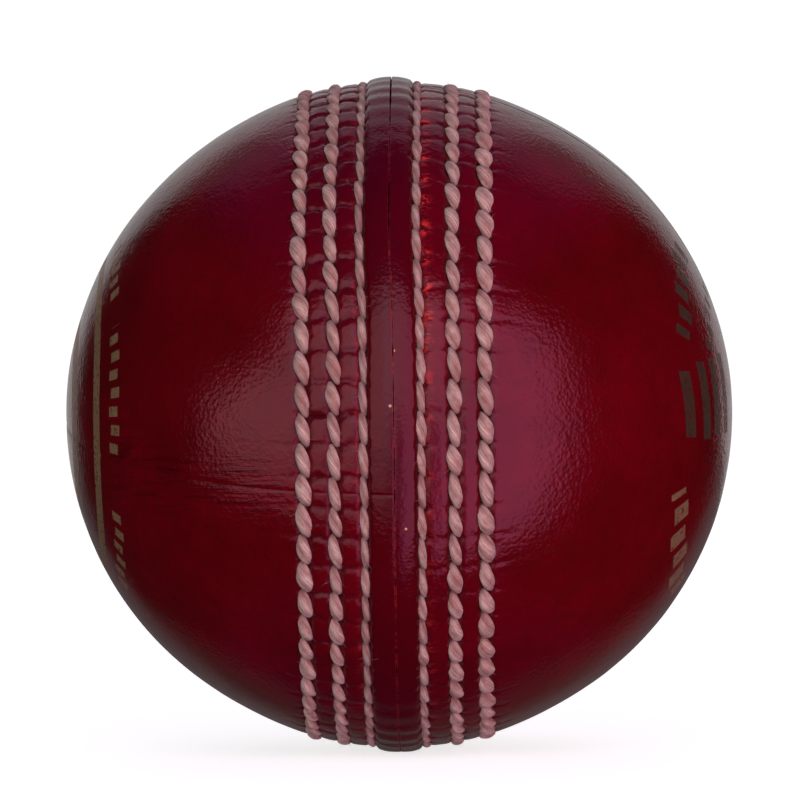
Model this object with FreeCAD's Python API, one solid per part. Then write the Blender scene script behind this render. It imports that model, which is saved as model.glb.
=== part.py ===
"""Four-piece leather cricket ball with a cork and yarn centre and a proud, six-row hand-stitched seam.

Frame, in millimetres: the origin is the ball's centre, X runs through the two cheeks (the seam's axis),
the seam is a ring in the YZ plane, and +Z is up. Ring angles are counted about X from the front (-Y)
towards the top (+Z). The left cup lies at -X and the right cup at +X.
"""

import FreeCAD, Part
import math
import os

Vector = FreeCAD.Vector

# ---- driving dimensions ----------------------------------------------------------------------------
WIDTH_ACROSS_CHEEKS = 72.0
SEAM_CREST_RADIUS = 36.4  # ball centre to the top of either leather lip, so 228.5 mm round the seam
CUP_OFFSET = 0.65  # each cup is moulded round a centre this far from the seam plane
LEATHER_INNER_RADIUS = 32.4
LAYER_GAP = 0.03  # left between layers that press on each other

# Outline of the band beside the seam: angle from the seam plane in degrees, distance from the ball's centre
LIP_NOTCH = (0.0, SEAM_CREST_RADIUS - 0.5)
LIP_EDGE = (0.35, SEAM_CREST_RADIUS - 0.03)
CROWN_MIDDLE = (8.5, 36.25)
CROWN_EDGE = (17.0, 35.98)
SHOULDER_MIDDLE = (23.0, 35.81)
SHOULDER_END_ANGLE = 30.0  # the band ends in the cheek's sphere, at this angle about the sphere's centre
INNER_FACE_MIDDLE = (15.0, LEATHER_INNER_RADIUS)
INNER_FACE_EDGE = (0.0, LEATHER_INNER_RADIUS)

NUCLEUS_RADIUS = 13.5
INNER_WINDING_RADIUS = 17.5
INNER_CORK_RADIUS = 20.5
MIDDLE_WINDING_RADIUS = 24.5
OUTER_CORK_RADIUS = 27.5
CORK_SLIVER_GAP = 0.6

STITCHES_PER_ROW = 68
CLOSING_ROW_X = 2.95
MIDDLE_ROW_X = 6.1
OUTER_ROW_X = 9.3
THREAD_RADIUS = 0.4
THREAD_SLANT = 0.43  # half the sideways shift between a stitch's two ends
STITCH_RADIUS = 35.95  # ball centre to the middle of the thread where it shows
CHANNEL_RADIUS = 0.92  # round channel that a row of stitches presses into the leather
CHANNEL_CENTRE = 36.1
AWL_HOLE_RADIUS = 0.88  # takes two strands side by side
SHALLOW_CROSSING = 34.75  # the two depths at which the closing threads cross under the lips
DEEP_CROSSING = 33.9
THREAD_END_GAP = 0.8
BEND_ROOM = 0.05  # how much more than its own radius a thread bends round
INNER_CHANNEL_ROOM = 0.12  # beside the thread in the channel on the leather's inner face

QUARTER_SEAM_ANGLE = -13.0  # ring angle of the left cup's quarter seam
CUP_TURN = 90.0  # the right cup's quarter seam stands this far round from the left cup's
QUARTER_THREAD_RADIUS = 0.35
QUARTER_STITCHES = 30
QUARTER_FIRST_ANGLE = 24.0  # from the seam plane, where the inside stitches of a quarter seam begin
QUARTER_STITCH_HALF_WIDTH = 1.5
QUARTER_CROSSING = 34.75
QUARTER_CHANNEL_ROOM = 0.25  # beside the whip stitches, under the lining strip
LINING_OUTER_RADIUS = 33.2
LINING_HALF_WIDTH = 6.0
LINING_START_X = 12.6
FIT = 0.03  # clearance round a thread or strip that lies in leather

# ---- sizes that follow from them -------------------------------------------------------------------
CUP_RADIUS = WIDTH_ACROSS_CHEEKS / 2 - CUP_OFFSET
PITCH = 360.0 / STITCHES_PER_ROW
FIRST_HOLE = QUARTER_SEAM_ANGLE + PITCH / 2  # so that both quarter seams fall between two holes
INNER_CHANNEL_HALF_WIDTH = THREAD_SLANT + THREAD_RADIUS + INNER_CHANNEL_ROOM
BEND = THREAD_RADIUS + BEND_ROOM
QUARTER_BEND = QUARTER_THREAD_RADIUS + BEND_ROOM
QUARTER_STITCH_STEP = (180.0 - 2 * QUARTER_FIRST_ANGLE) / QUARTER_STITCHES
QUARTER_RUN_RADIUS = LINING_OUTER_RADIUS + QUARTER_THREAD_RADIUS + 2 * FIT
CLEAR = 45.0  # larger than the ball's radius
BELOW_LEATHER = LEATHER_INNER_RADIUS - 3.0  # where cuts that go right through the leather start
X_AXIS = Vector(1, 0, 0)
ORIGIN = Vector(0, 0, 0)


# ---- helpers ---------------------------------------------------------------------------------------
def ring_direction(angle):
    """Unit vector square to the seam's axis, at a ring angle in degrees."""
    a = math.radians(angle)
    return Vector(0, -math.cos(a), math.sin(a))


def ring_point(x, radius, angle):
    """Point at x along the seam's axis, radius away from that axis."""
    return Vector(x, 0, 0) + ring_direction(angle) * radius


def ring_radius(x, distance):
    """Distance from the seam's axis of a point at x that is distance from the ball's centre."""
    return math.sqrt(distance**2 - x**2)


def profile_point(angle, distance):
    """Point of the cup's outline at an angle from the seam plane, in the XZ plane."""
    a = math.radians(angle)
    return Vector(distance * math.sin(a), 0, distance * math.cos(a))


def hollow_sphere(inner, outer):
    return Part.makeSphere(outer).cut(Part.makeSphere(inner))


def mirrored(shape):
    return shape.mirror(ORIGIN, X_AXIS)


def solids_of(shape):
    return Part.makeCompound(shape.Solids)


def export(name, shape):
    shape.exportStep(f"parts/{name}.step")
    valid = all(s.isValid() for s in shape.Solids)
    print(f"{name}: {len(shape.Solids)} solid(s), {shape.Volume / 1000:.3f} cm3, valid {valid}")


# ---- thread ----------------------------------------------------------------------------------------
def tube(points, radius, bend):
    """Closed solid of a thread along points: straight runs joined by tangent arcs of radius bend."""
    direction = (points[1] - points[0]).normalize()
    section = Part.Wire(Part.Circle(points[0], direction, radius).toShape())
    path = []
    at = points[0]
    for corner, after in zip(points[1:-1], points[2:]):
        onward = (after - corner).normalize()
        half_turn = direction.getAngle(onward) / 2
        arc_start = corner - direction * (bend * math.tan(half_turn))
        arc_end = corner + onward * (bend * math.tan(half_turn))
        arc_middle = corner + (onward - direction).normalize() * (bend / math.cos(half_turn) - bend)
        path.append(Part.LineSegment(at, arc_start).toShape())
        path.append(Part.Arc(arc_start, arc_middle, arc_end).toShape())
        at = arc_end
        direction = onward
    path.append(Part.LineSegment(at, points[-1]).toShape())
    return Part.Wire(path).makePipeShell([section], True, False)


def hole_angle(k):
    return FIRST_HOLE + k * PITCH


def row_thread(x, first):
    """One strand of a two-needle row at x. It shows over every second stitch and runs inside between them."""
    top = ring_radius(x, STITCH_RADIUS)
    low = inner_channel_base(x) + THREAD_RADIUS + FIT
    points = []
    for k in range(first, first + STITCHES_PER_ROW, 2):
        rise, dive = x + THREAD_SLANT, x - THREAD_SLANT
        points += [
            ring_point(rise, low, hole_angle(k)),
            ring_point(rise, top, hole_angle(k)),
            ring_point(dive, top, hole_angle(k + 1)),
            ring_point(dive, low, hole_angle(k + 1)),
        ]
    return tube(with_loose_ends(points), THREAD_RADIUS, BEND)


def closing_thread(first):
    """One strand that joins the cups: a stitch on the left, a pass under the lips, a stitch on the right."""
    top = ring_radius(CLOSING_ROW_X, STITCH_RADIUS)
    near, far = CLOSING_ROW_X - THREAD_SLANT, CLOSING_ROW_X + THREAD_SLANT
    points = []
    for k in range(first, first + STITCHES_PER_ROW, 2):
        points += [
            ring_point(-near, SHALLOW_CROSSING, hole_angle(k)),
            ring_point(-near, top, hole_angle(k)),
            ring_point(-far, top, hole_angle(k + 1)),
            ring_point(-far, DEEP_CROSSING, hole_angle(k + 1)),
            ring_point(far, DEEP_CROSSING, hole_angle(k + 1)),
            ring_point(far, top, hole_angle(k + 1)),
            ring_point(near, top, hole_angle(k + 2)),
            ring_point(near, SHALLOW_CROSSING, hole_angle(k + 2)),
        ]
    return tube(with_loose_ends(points), THREAD_RADIUS, BEND)


def with_loose_ends(points):
    """Opens a ring of points in the hidden run between the last and the first, leaving a small gap."""
    middle = (points[-1] + points[0]) * 0.5
    half_gap = (points[0] - points[-1]).normalize() * (THREAD_END_GAP / 2)
    return [middle + half_gap, *points, middle - half_gap]


# ---- leather ---------------------------------------------------------------------------------------
def inner_channel_base(x):
    """Ring radius of the leather's inner face at the edge of a row's inner channel nearest the seam plane."""
    return ring_radius(abs(x) - INNER_CHANNEL_HALF_WIDTH, LEATHER_INNER_RADIUS)


def cup():
    """The right cup before it is pierced: a turned band beside the seam, and the round cheek."""
    notch = profile_point(*LIP_NOTCH)
    lip_edge = profile_point(*LIP_EDGE)
    crown_edge = profile_point(*CROWN_EDGE)
    shoulder_end = cup_sphere_point(SHOULDER_END_ANGLE)
    cheek_start = shoulder_end.x
    inner_end = Vector(cheek_start, 0, ring_radius(cheek_start, LEATHER_INNER_RADIUS))
    inner_rim = profile_point(*INNER_FACE_EDGE)
    edges = [
        Part.LineSegment(notch, lip_edge),
        Part.Arc(lip_edge, profile_point(*CROWN_MIDDLE), crown_edge),
        Part.Arc(crown_edge, profile_point(*SHOULDER_MIDDLE), shoulder_end),
        Part.LineSegment(shoulder_end, inner_end),
        Part.Arc(inner_end, profile_point(*INNER_FACE_MIDDLE), inner_rim),
        Part.LineSegment(inner_rim, notch),
    ]
    outline = Part.Wire([e.toShape() for e in edges])
    band = Part.Face(outline).revolve(ORIGIN, X_AXIS, 360)
    outside = Part.makeBox(CLEAR, 2 * CLEAR, 2 * CLEAR, Vector(cheek_start, -CLEAR, -CLEAR))
    cheek = sphere(CUP_RADIUS, CUP_OFFSET).cut(sphere(LEATHER_INNER_RADIUS, 0.0)).common(outside)
    return band.fuse(cheek)


def sphere(radius, centre_x):
    """Sphere on the seam's axis whose surface poles and seam line stay clear of the right cheek."""
    centre = Vector(centre_x, 0, 0)
    made = Part.makeSphere(radius, centre)
    made.rotate(centre, Vector(0, 0, 1), 180)
    return made


def cup_sphere_point(angle):
    """Point on the sphere that the cup's cheek is moulded to, at an angle about that sphere's centre."""
    return Vector(CUP_OFFSET, 0, 0) + profile_point(angle, CUP_RADIUS)


def row_channels(x):
    """Outer channel of a row and, for a row that is sewn through, the channel on the inner face."""
    outer_ring = Part.makeTorus(ring_radius(x, CHANNEL_CENTRE), CHANNEL_RADIUS, Vector(x, 0, 0), X_AXIS)
    if abs(x) == CLOSING_ROW_X:
        return [outer_ring]
    floor = inner_channel_base(x) + 2 * (THREAD_RADIUS + FIT)
    start = Vector(x - INNER_CHANNEL_HALF_WIDTH, 0, 0)
    inner_ring = Part.makeCylinder(floor, 2 * INNER_CHANNEL_HALF_WIDTH, start, X_AXIS)
    return [outer_ring, inner_ring]


def awl_holes(side, angle):
    """Holes of one stitch position in the cup on that side (-1 left, 1 right)."""
    outward = ring_direction(angle)
    closing_bottom = DEEP_CROSSING - THREAD_RADIUS - FIT
    crossing = Part.makeCylinder(
        AWL_HOLE_RADIUS,
        CLOSING_ROW_X,
        ring_point(0, (SHALLOW_CROSSING + DEEP_CROSSING) / 2, angle),
        Vector(side, 0, 0),
    )
    holes = [crossing]
    for x, start in (
        (CLOSING_ROW_X, closing_bottom),
        (MIDDLE_ROW_X, BELOW_LEATHER),
        (OUTER_ROW_X, BELOW_LEATHER),
    ):
        base = ring_point(side * x, start, angle)
        holes.append(Part.makeCylinder(AWL_HOLE_RADIUS, CLEAR - start, base, outward))
    return holes


# ---- quarter seam ----------------------------------------------------------------------------------
def quarter_seam_angle(side):
    return QUARTER_SEAM_ANGLE if side < 0 else QUARTER_SEAM_ANGLE + CUP_TURN


def quarter_point(side, angle, radius, across):
    """Point over the quarter seam: angle from the seam plane, radius from the centre, across the joint."""
    a = math.radians(angle)
    along = ring_direction(quarter_seam_angle(side))
    normal = X_AXIS.cross(along)
    return X_AXIS * (side * radius * math.sin(a)) + along * (radius * math.cos(a)) + normal * across


def quarter_stitch_angle(j):
    return QUARTER_FIRST_ANGLE + j * QUARTER_STITCH_STEP


def quarter_thread(side):
    """The whip stitch that joins two quarters from inside: over the joint, into the leather and back."""
    w = QUARTER_STITCH_HALF_WIDTH
    points = []
    for j in range(QUARTER_STITCHES):
        points += [
            quarter_point(side, quarter_stitch_angle(j), QUARTER_RUN_RADIUS, w),
            quarter_point(side, quarter_stitch_angle(j), QUARTER_RUN_RADIUS, -w),
            quarter_point(side, quarter_stitch_angle(j), QUARTER_CROSSING, -w),
            quarter_point(side, quarter_stitch_angle(j + 1), QUARTER_CROSSING, w),
        ]
    return tube(points, QUARTER_THREAD_RADIUS, QUARTER_BEND)


def quarter_holes(side):
    """Blind holes in the leather for the quarter seam's stitches, which never reach the outer face."""
    w = QUARTER_STITCH_HALF_WIDTH
    bore = QUARTER_THREAD_RADIUS + 2 * FIT
    holes = []
    for j in range(QUARTER_STITCHES):
        here = quarter_stitch_angle(j)
        there = quarter_stitch_angle(j + 1)
        near_leg = [quarter_point(side, here, r, -w) for r in (QUARTER_RUN_RADIUS, QUARTER_CROSSING + bore)]
        crossing_start = quarter_point(side, here, QUARTER_CROSSING, -w)
        crossing_end = quarter_point(side, there, QUARTER_CROSSING, w)
        far_leg = [quarter_point(side, there, r, w) for r in (QUARTER_RUN_RADIUS, QUARTER_CROSSING + bore)]
        for start, end in (near_leg, (crossing_start, crossing_end), far_leg):
            holes.append(Part.makeCylinder(bore, (end - start).Length, start, end - start))
    return holes


def lining_band(side, inner, outer, half_width, start_x):
    """Band over the inside of the quarter seam on that side, between two radii, from start_x to the cheek."""
    reach = CLEAR - start_x
    corner_x = start_x if side > 0 else -CLEAR
    box = Part.makeBox(reach, 2 * CLEAR, 2 * half_width, Vector(corner_x, -CLEAR, -half_width))
    box.rotate(ORIGIN, X_AXIS, -quarter_seam_angle(side))
    return hollow_sphere(inner, outer).common(box)


def lining_strip(side):
    """The strip of thin leather that covers the inside of the quarter seam."""
    inner, outer = LEATHER_INNER_RADIUS, LINING_OUTER_RADIUS - FIT
    strip = lining_band(side, inner, outer, LINING_HALF_WIDTH - FIT, LINING_START_X + FIT)
    return solids_of(strip)


def quarter_bore_tools(side):
    """Everything cut from a whole cup before it is halved: room for the lining strip and thread channels."""
    thread_top = QUARTER_RUN_RADIUS + QUARTER_THREAD_RADIUS + FIT
    thread_side = QUARTER_STITCH_HALF_WIDTH + QUARTER_THREAD_RADIUS + QUARTER_CHANNEL_ROOM
    tools = [
        lining_band(side, BELOW_LEATHER, LINING_OUTER_RADIUS, LINING_HALF_WIDTH, LINING_START_X),
        lining_band(side, BELOW_LEATHER, thread_top, thread_side, LINING_START_X),
    ]
    for x in (CLOSING_ROW_X, MIDDLE_ROW_X, OUTER_ROW_X):
        tools += row_channels(side * x)
    return tools


def quarters(side):
    """The cup on one side, cut along its quarter seam, with every channel and hole that the threads need."""
    whole = cup() if side > 0 else mirrored(cup())
    whole = whole.cut(quarter_bore_tools(side))
    angle = quarter_seam_angle(side)
    halves = []
    for turn in (0, 180):
        half_space = Part.makeBox(2 * CLEAR, 2 * CLEAR, CLEAR, Vector(-CLEAR, -CLEAR, 0))
        half_space.rotate(ORIGIN, X_AXIS, -angle + turn)
        half = whole.common(half_space)
        holes = []
        for k in range(STITCHES_PER_ROW):
            from_joint = (hole_angle(k) - angle + turn) % 360
            if from_joint < 180:
                holes += awl_holes(side, hole_angle(k))
        half = half.cut(holes).cut(quarter_holes(side))
        halves.append(solids_of(half))
    return halves


# ---- core ------------------------------------------------------------------------------------------
def cork_slivers(inner, outer):
    """A cork layer: eight curved slivers, an octant each, laid on the yarn with small gaps between them."""
    shell = hollow_sphere(inner, outer)
    slivers = []
    for sx in (-1, 1):
        for sy in (-1, 1):
            for sz in (-1, 1):
                corner = Vector(*(CORK_SLIVER_GAP / 2 if s > 0 else -CLEAR for s in (sx, sy, sz)))
                side = CLEAR - CORK_SLIVER_GAP / 2
                slivers.append(shell.common(Part.makeBox(side, side, side, corner)))
    return Part.makeCompound([s.Solids[0] for s in slivers])


def build_core():
    export("cork_nucleus", Part.makeSphere(NUCLEUS_RADIUS))
    export("inner_yarn_winding", hollow_sphere(NUCLEUS_RADIUS + LAYER_GAP, INNER_WINDING_RADIUS))
    export("inner_cork_slivers", cork_slivers(INNER_WINDING_RADIUS + LAYER_GAP, INNER_CORK_RADIUS))
    export("middle_yarn_winding", hollow_sphere(INNER_CORK_RADIUS + LAYER_GAP, MIDDLE_WINDING_RADIUS))
    export("outer_cork_slivers", cork_slivers(MIDDLE_WINDING_RADIUS + LAYER_GAP, OUTER_CORK_RADIUS))
    outer_winding_radius = LEATHER_INNER_RADIUS - LAYER_GAP
    export("outer_yarn_winding", hollow_sphere(OUTER_CORK_RADIUS + LAYER_GAP, outer_winding_radius))


def build_cup(side, label, quarter_names):
    for name, leather in zip(quarter_names, quarters(side)):
        export(f"{label}_{name}_quarter", leather)
    export(f"{label}_lining_strip", lining_strip(side))
    export(f"{label}_quarter_seam_thread", quarter_thread(side))
    for row, x in (("middle", MIDDLE_ROW_X), ("outer", OUTER_ROW_X)):
        for first, strand in enumerate(("a", "b")):
            export(f"{label}_{row}_thread_{strand}", row_thread(side * x, first))


def build():
    os.makedirs("parts", exist_ok=True)
    build_core()
    build_cup(-1, "left", ("upper", "lower"))
    build_cup(1, "right", ("rear", "front"))
    for first, strand in enumerate(("a", "b")):
        export(f"closing_thread_{strand}", closing_thread(first))


build()
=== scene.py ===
import math

import bpy
import numpy as np
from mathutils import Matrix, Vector


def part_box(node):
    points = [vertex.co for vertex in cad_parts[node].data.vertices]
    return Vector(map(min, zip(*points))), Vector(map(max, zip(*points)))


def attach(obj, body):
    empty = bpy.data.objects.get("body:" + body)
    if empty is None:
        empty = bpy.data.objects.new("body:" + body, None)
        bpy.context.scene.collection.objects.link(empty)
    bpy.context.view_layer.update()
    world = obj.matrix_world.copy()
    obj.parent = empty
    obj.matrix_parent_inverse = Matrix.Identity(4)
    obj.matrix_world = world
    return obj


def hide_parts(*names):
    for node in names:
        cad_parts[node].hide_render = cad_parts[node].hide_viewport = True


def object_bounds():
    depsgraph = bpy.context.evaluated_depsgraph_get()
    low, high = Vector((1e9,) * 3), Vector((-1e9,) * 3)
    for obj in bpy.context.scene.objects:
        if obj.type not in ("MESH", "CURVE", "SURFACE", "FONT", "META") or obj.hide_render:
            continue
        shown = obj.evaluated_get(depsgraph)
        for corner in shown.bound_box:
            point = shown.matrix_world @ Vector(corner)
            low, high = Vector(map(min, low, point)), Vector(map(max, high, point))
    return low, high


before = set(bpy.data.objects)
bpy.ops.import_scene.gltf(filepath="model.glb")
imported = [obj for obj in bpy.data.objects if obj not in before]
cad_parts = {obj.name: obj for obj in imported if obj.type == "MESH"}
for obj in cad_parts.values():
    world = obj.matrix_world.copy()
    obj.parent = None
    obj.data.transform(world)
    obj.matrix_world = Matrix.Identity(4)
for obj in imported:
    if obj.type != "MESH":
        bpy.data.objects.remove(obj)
cad_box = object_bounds()

# Looks of the four-piece leather cricket ball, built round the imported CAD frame.
# Lengths in the code are millimetres until a mesh is made, which is in metres like the frame.
# X is the seam's axis, the seam is a ring in the YZ plane, and +Z is up. Ring angles are degrees
# about X from the front (-Y) towards the top (+Z), as in the CAD.

MM = 0.001
SEED = 20

# ---- sizes taken from the frame ----
def cad_size(node):
    low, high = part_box(node)
    return np.array(low) / MM, np.array(high) / MM


def row_centre(node):
    low, high = cad_size(node)
    return abs(low[0] + high[0]) / 2


MIDDLE_ROW_X = row_centre("left_middle_thread_a")
OUTER_ROW_X = row_centre("left_outer_thread_a")
CHEEK_RADIUS = cad_size("right_front_quarter")[1][0]
LIP_RADIUS = cad_size("right_rear_quarter")[1][2]
WINDING_RADIUS = cad_size("outer_yarn_winding")[1][0]

# ---- driving dimensions that match the CAD ----
CUP_OFFSET = 0.65
STITCHES = 68
PITCH = 360.0 / STITCHES
QUARTER_SEAM_ANGLE = -13.0
FIRST_HOLE = QUARTER_SEAM_ANGLE + PITCH / 2
CLOSING_ROW_X = 2.95
THREAD_SLANT = 0.43
SHALLOW_CROSSING = 34.75
DEEP_CROSSING = 33.9
LEATHER_INNER_RADIUS = WINDING_RADIUS + 0.03

# ---- leather relief ----
MEAN_RADIUS = 36.0
CROWN_RISE = 0.55
CROWN_ANGLE = 22.0
LIP_RISE = 0.56
LIP_EDGE_X = {-1: 2.64, 1: 2.36}
CHANNEL_DEPTH = 0.42
ROWS_X = {-1: (CLOSING_ROW_X + 0.12, MIDDLE_ROW_X, OUTER_ROW_X), 1: (CLOSING_ROW_X - 0.22, MIDDLE_ROW_X, OUTER_ROW_X)}
CREASE_BOW = 0.09
SUBDIVISIONS = 16  # columns of the leather mesh for each stitch


# ---- repeatable noise ----
def lattice_value(i, j, k, seed):
    """A fixed pseudo-random number from 0 to 1 for each whole-number lattice point."""
    h = (i * 374761393 + j * 668265263 + k * 1440662683 + seed * 1274126177) & 0xFFFFFFFF
    h = ((h ^ (h >> 13)) * 1103515245) & 0xFFFFFFFF
    return ((h ^ (h >> 16)) & 0xFFFFFF) / float(0x1000000)


def smooth_noise(points, size, seed):
    """Noise from -1 to 1 with bumps about size wide, at each row of points."""
    at = points / size
    cell = np.floor(at).astype(np.int64)
    f = at - cell
    f = f * f * (3 - 2 * f)
    total = np.zeros(len(points))
    for dx in (0, 1):
        for dy in (0, 1):
            for dz in (0, 1):
                weight = (
                    (f[:, 0] if dx else 1 - f[:, 0])
                    * (f[:, 1] if dy else 1 - f[:, 1])
                    * (f[:, 2] if dz else 1 - f[:, 2])
                )
                total += weight * lattice_value(cell[:, 0] + dx, cell[:, 1] + dy, cell[:, 2] + dz, seed)
    return total * 2 - 1


def fade(value, start, end):
    """0 before start, 1 after end, smooth between."""
    t = np.clip((value - start) / (end - start), 0, 1)
    return t * t * (3 - 2 * t)


def angle_from(phi, centre):
    """Signed difference of two ring angles in degrees, from -180 to 180."""
    return (phi - centre + 180) % 360 - 180


# ---- mesh from numbers ----
def mesh_object(name, points, polygons, strand_uv=None, values=None, sharp=math.radians(62)):
    """Object from points in mm and a list of face arrays; each array holds faces of one size."""
    mesh = bpy.data.meshes.new(name)
    mesh.vertices.add(len(points))
    mesh.vertices.foreach_set("co", (np.asarray(points) * MM).astype(np.float32).ravel())
    sizes = np.concatenate([np.full(len(p), p.shape[1]) for p in polygons])
    corners = np.concatenate([p.ravel() for p in polygons])
    mesh.loops.add(len(corners))
    mesh.loops.foreach_set("vertex_index", corners.astype(np.int32))
    mesh.polygons.add(len(sizes))
    starts = np.concatenate([[0], np.cumsum(sizes)[:-1]])
    mesh.polygons.foreach_set("loop_start", starts.astype(np.int32))
    mesh.update(calc_edges=True)
    mesh.polygons.foreach_set("use_smooth", np.ones(len(sizes), bool))
    if strand_uv is not None:
        layer = mesh.uv_layers.new(name="strand")
        layer.data.foreach_set("uv", strand_uv.astype(np.float32).ravel())
    for label, numbers in (values or {}).items():
        attribute = mesh.attributes.new(label, "FLOAT", "POINT")
        attribute.data.foreach_set("value", np.asarray(numbers, np.float32))
    mesh.set_sharp_from_angle(angle=sharp)
    piece = bpy.data.objects.new(name, mesh)
    bpy.context.scene.collection.objects.link(piece)
    return piece


def outward(points, polygons):
    """The same faces, turned round if they enclose a negative volume."""
    volume = 0.0
    for p in polygons:
        a = points[p[:, 0]]
        for i in range(1, p.shape[1] - 1):
            volume += np.einsum("ij,ij->i", a, np.cross(points[p[:, i]], points[p[:, i + 1]])).sum()
    return polygons if volume > 0 else [p[:, ::-1] for p in polygons]


def ring_faces(first, first_count, second, second_count):
    """Quads and triangles between two open rings of points whose segment counts are equal, double or half."""
    if first_count == second_count:
        j = np.arange(first_count)
        quads = np.stack([first + j, first + j + 1, second + j + 1, second + j], 1)
        return [quads], []
    if first_count == 2 * second_count:
        j = np.arange(second_count)
        a, b = first + 2 * j, second + j
        fans = [(a, a + 1, b), (a + 1, b + 1, b), (a + 1, a + 2, b + 1)]
    else:
        j = np.arange(first_count)
        a, b = first + j, second + 2 * j
        fans = [(a, b + 1, b), (a, a + 1, b + 1), (a + 1, b + 2, b + 1)]
    return [], [np.stack(f, 1) for f in fans]


# ---- the seam's own irregularity, shared by the leather and the threads ----
def seam_wander(phi, x):
    """How far the seam strays along X, in mm, at a ring angle and a signed distance x from its middle.

    The lips and the rows on the left bend towards -X near the top; the right middle and outer rows don't.
    """
    phi = angle_from(np.asarray(phi, float), 0)
    bend = fade(phi, 13, 33) * (1 - fade(phi, 100, 160)) * np.interp(x, BEND_X, BEND_SHARE)
    stray = -0.11 + 0.04 * np.cos(np.radians(5 * phi + 57))
    return stray * np.interp(np.abs(x), (11.0, 25.0), (1.0, 0.0)) - 0.37 * bend


BEND_X = (-25.0, -11.0, 3.2, 6.2, 9.7, 20.0)
BEND_SHARE = (0.0, 1.0, 1.0, 0.0, -0.35, 0.0)


def jitter_table(seed, spread):
    return np.random.default_rng(SEED + seed).uniform(-spread, spread, STITCHES)


HOLE_SHIFT = {(side, row): jitter_table(10 * row + side, 0.07) for side in (-1, 1) for row in range(3)}
CREASE = {(side, row): jitter_table(40 + 10 * row + side, 1.0) for side in (-1, 1) for row in range(4)}


def hole_number(phi):
    return (phi - FIRST_HOLE) / PITCH


# ---- leather ----
def crown(t):
    """Ball centre to the leather between the rows, at angle t in degrees from the seam plane."""
    cup = (CHEEK_RADIUS - CUP_OFFSET) + CUP_OFFSET * np.sin(np.radians(t))
    return cup + CROWN_RISE * np.exp(-((t / CROWN_ANGLE) ** 3))


def crease_strength(side, land, phi):
    """How deep the leather is drawn in between two rows, by side, land (1 inner, 2 outer) and ring angle."""
    front = {(-1, 1): 0.26, (-1, 2): 0.40, (1, 1): 0.07, (1, 2): 0.07}[side, land]
    front *= 1 - 0.7 * fade(-angle_from(phi, 0), 28, 50)
    top = 0.13 * fade(angle_from(phi, 0), 38, 72)
    drift = 0.06 * np.sin(np.radians(phi) * 3 + land + side) * fade(np.abs(angle_from(phi, 0)), 80, 120)
    return np.clip(front + top + drift, 0.03, None)


def seam_relief(side, x, phi, points):
    """Lowering of the leather, in mm, from the rows of stitches, their holes and the creases between them."""
    u = hole_number(phi) + 0.06 * smooth_noise(points, 1.3, SEED + 3) + 0.05 * smooth_noise(points, 0.6, SEED + 9)
    ragged = 1 + 0.14 * smooth_noise(points, 0.7, SEED + 10)
    nearest = np.round(u).astype(int)
    drop = np.zeros(len(x))
    for row, row_x in enumerate(ROWS_X[side]):
        shift = HOLE_SHIFT[side, row][nearest % STITCHES]
        along = (u - nearest - shift) * PITCH * math.radians(1) * MEAN_RADIUS
        swell = np.abs(np.sin(np.pi * u))
        width = 0.60 + 0.14 * swell
        if row == 0:
            width = np.where(x < row_x, row_x - LIP_EDGE_X[side] - 0.04, 0.50) + 0.05 * swell
        trough = np.exp(-(np.abs((x - row_x) / (width * ragged)) ** 2.6))
        hole = np.exp(-(np.abs((x - row_x) / 0.62) ** 4)) * np.exp(-((along / 0.38) ** 2))
        drop += (CHANNEL_DEPTH - 0.14 * fade(np.abs(angle_from(phi, 0)), 45, 75)) * trough + 0.5 * hole
        beside = np.abs(x - row_x) - 0.62
        pinch = np.exp(-((u - nearest) * 3.3 / 0.22) ** 2) * np.exp(-((beside / 0.55) ** 2)) * (beside > 0)
        drop += (0.12 if side > 0 else 0.05) * pinch * (x > LIP_EDGE_X[side])
    for land, (low, high) in ((1, ROWS_X[side][:2]), (2, ROWS_X[side][1:])):
        wide = np.exp(-(np.abs((x - (low + high) / 2) / 1.15) ** 4))
        depth = crease_strength(side, land, phi) * (1 + 0.45 * CREASE[side, land][nearest % STITCHES])
        off_middle = x - (low + high) / 2
        line = u + 0.09 * CREASE[side, 3][nearest % STITCHES] * off_middle
        line += CREASE_BOW * off_middle**2 * np.sign(CREASE[side, land][nearest % STITCHES] + 0.5)
        across = 2 * (line - np.floor(line)) - 1
        drop += wide * depth * np.clip(np.abs(across) ** 5 + 0.10 * smooth_noise(points, 0.9, SEED + 11), 0, 1)
    tail = np.clip(x - OUTER_ROW_X - 0.45, 0, None)
    long_or_short = 1.1 + 0.8 * CREASE[side, 0][nearest % STITCHES]
    rays = np.exp(-((u - nearest) * 3.3 / 0.26) ** 2) * np.exp(-((tail / (0.6 + long_or_short)) ** 2))
    drop += 0.09 * rays * (x > OUTER_ROW_X + 0.45)
    return drop


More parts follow.
